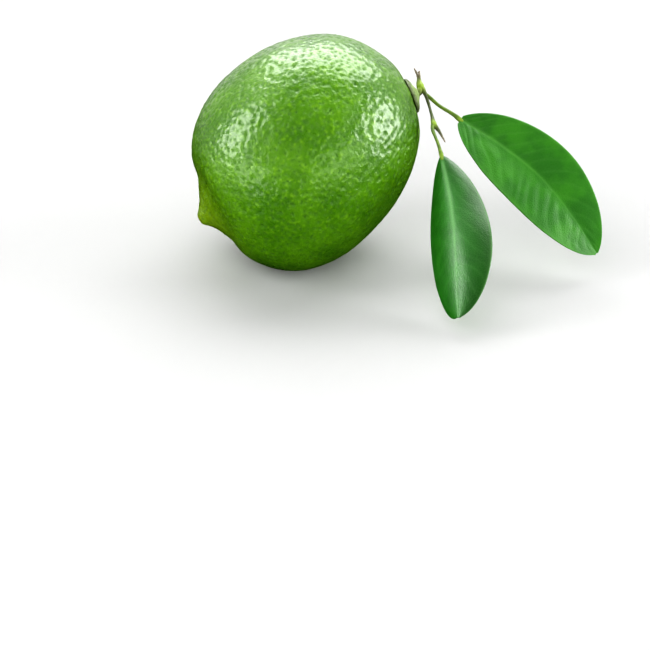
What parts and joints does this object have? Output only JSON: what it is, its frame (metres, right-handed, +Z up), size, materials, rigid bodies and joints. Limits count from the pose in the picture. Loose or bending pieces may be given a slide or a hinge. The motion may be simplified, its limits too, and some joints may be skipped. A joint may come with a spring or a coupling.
{
  "type": "lime with leaves",
  "caption": "Whole green lime as picked, lying on a small flat spot, with its calyx, a short twig and two glossy leaves at the stem end.",
  "frame": {"origin": "middle of the flat spot that the fruit rests on", "axes": "+Z up, out of the surface it rests on; +X towards the leaves, the longest way; +Y away from the side that shows best"},
  "size_m": [0.105, 0.0733, 0.0576],
  "materials": {
    "lime_skin": "waxy glossy rind with dimpled oil glands, yellower at the nipple",
    "calyx_green": "dry matt olive with a darker rim",
    "green_bark": "smooth young green bark, brown at the broken ends",
    "petiole_green": "smooth olive green, paler at the joint with the blade",
    "leaf_green": "waxy deep green with a pale midrib, paler below"
  },
  "bodies": {
    "root": {"fruit": "lime_skin", "calyx": "calyx_green", "twig": "green_bark", "petiole_large": "petiole_green", "petiole_small": "petiole_green", "leaf_large": "leaf_green", "leaf_small": "leaf_green"}
  },
  "joints": []
}
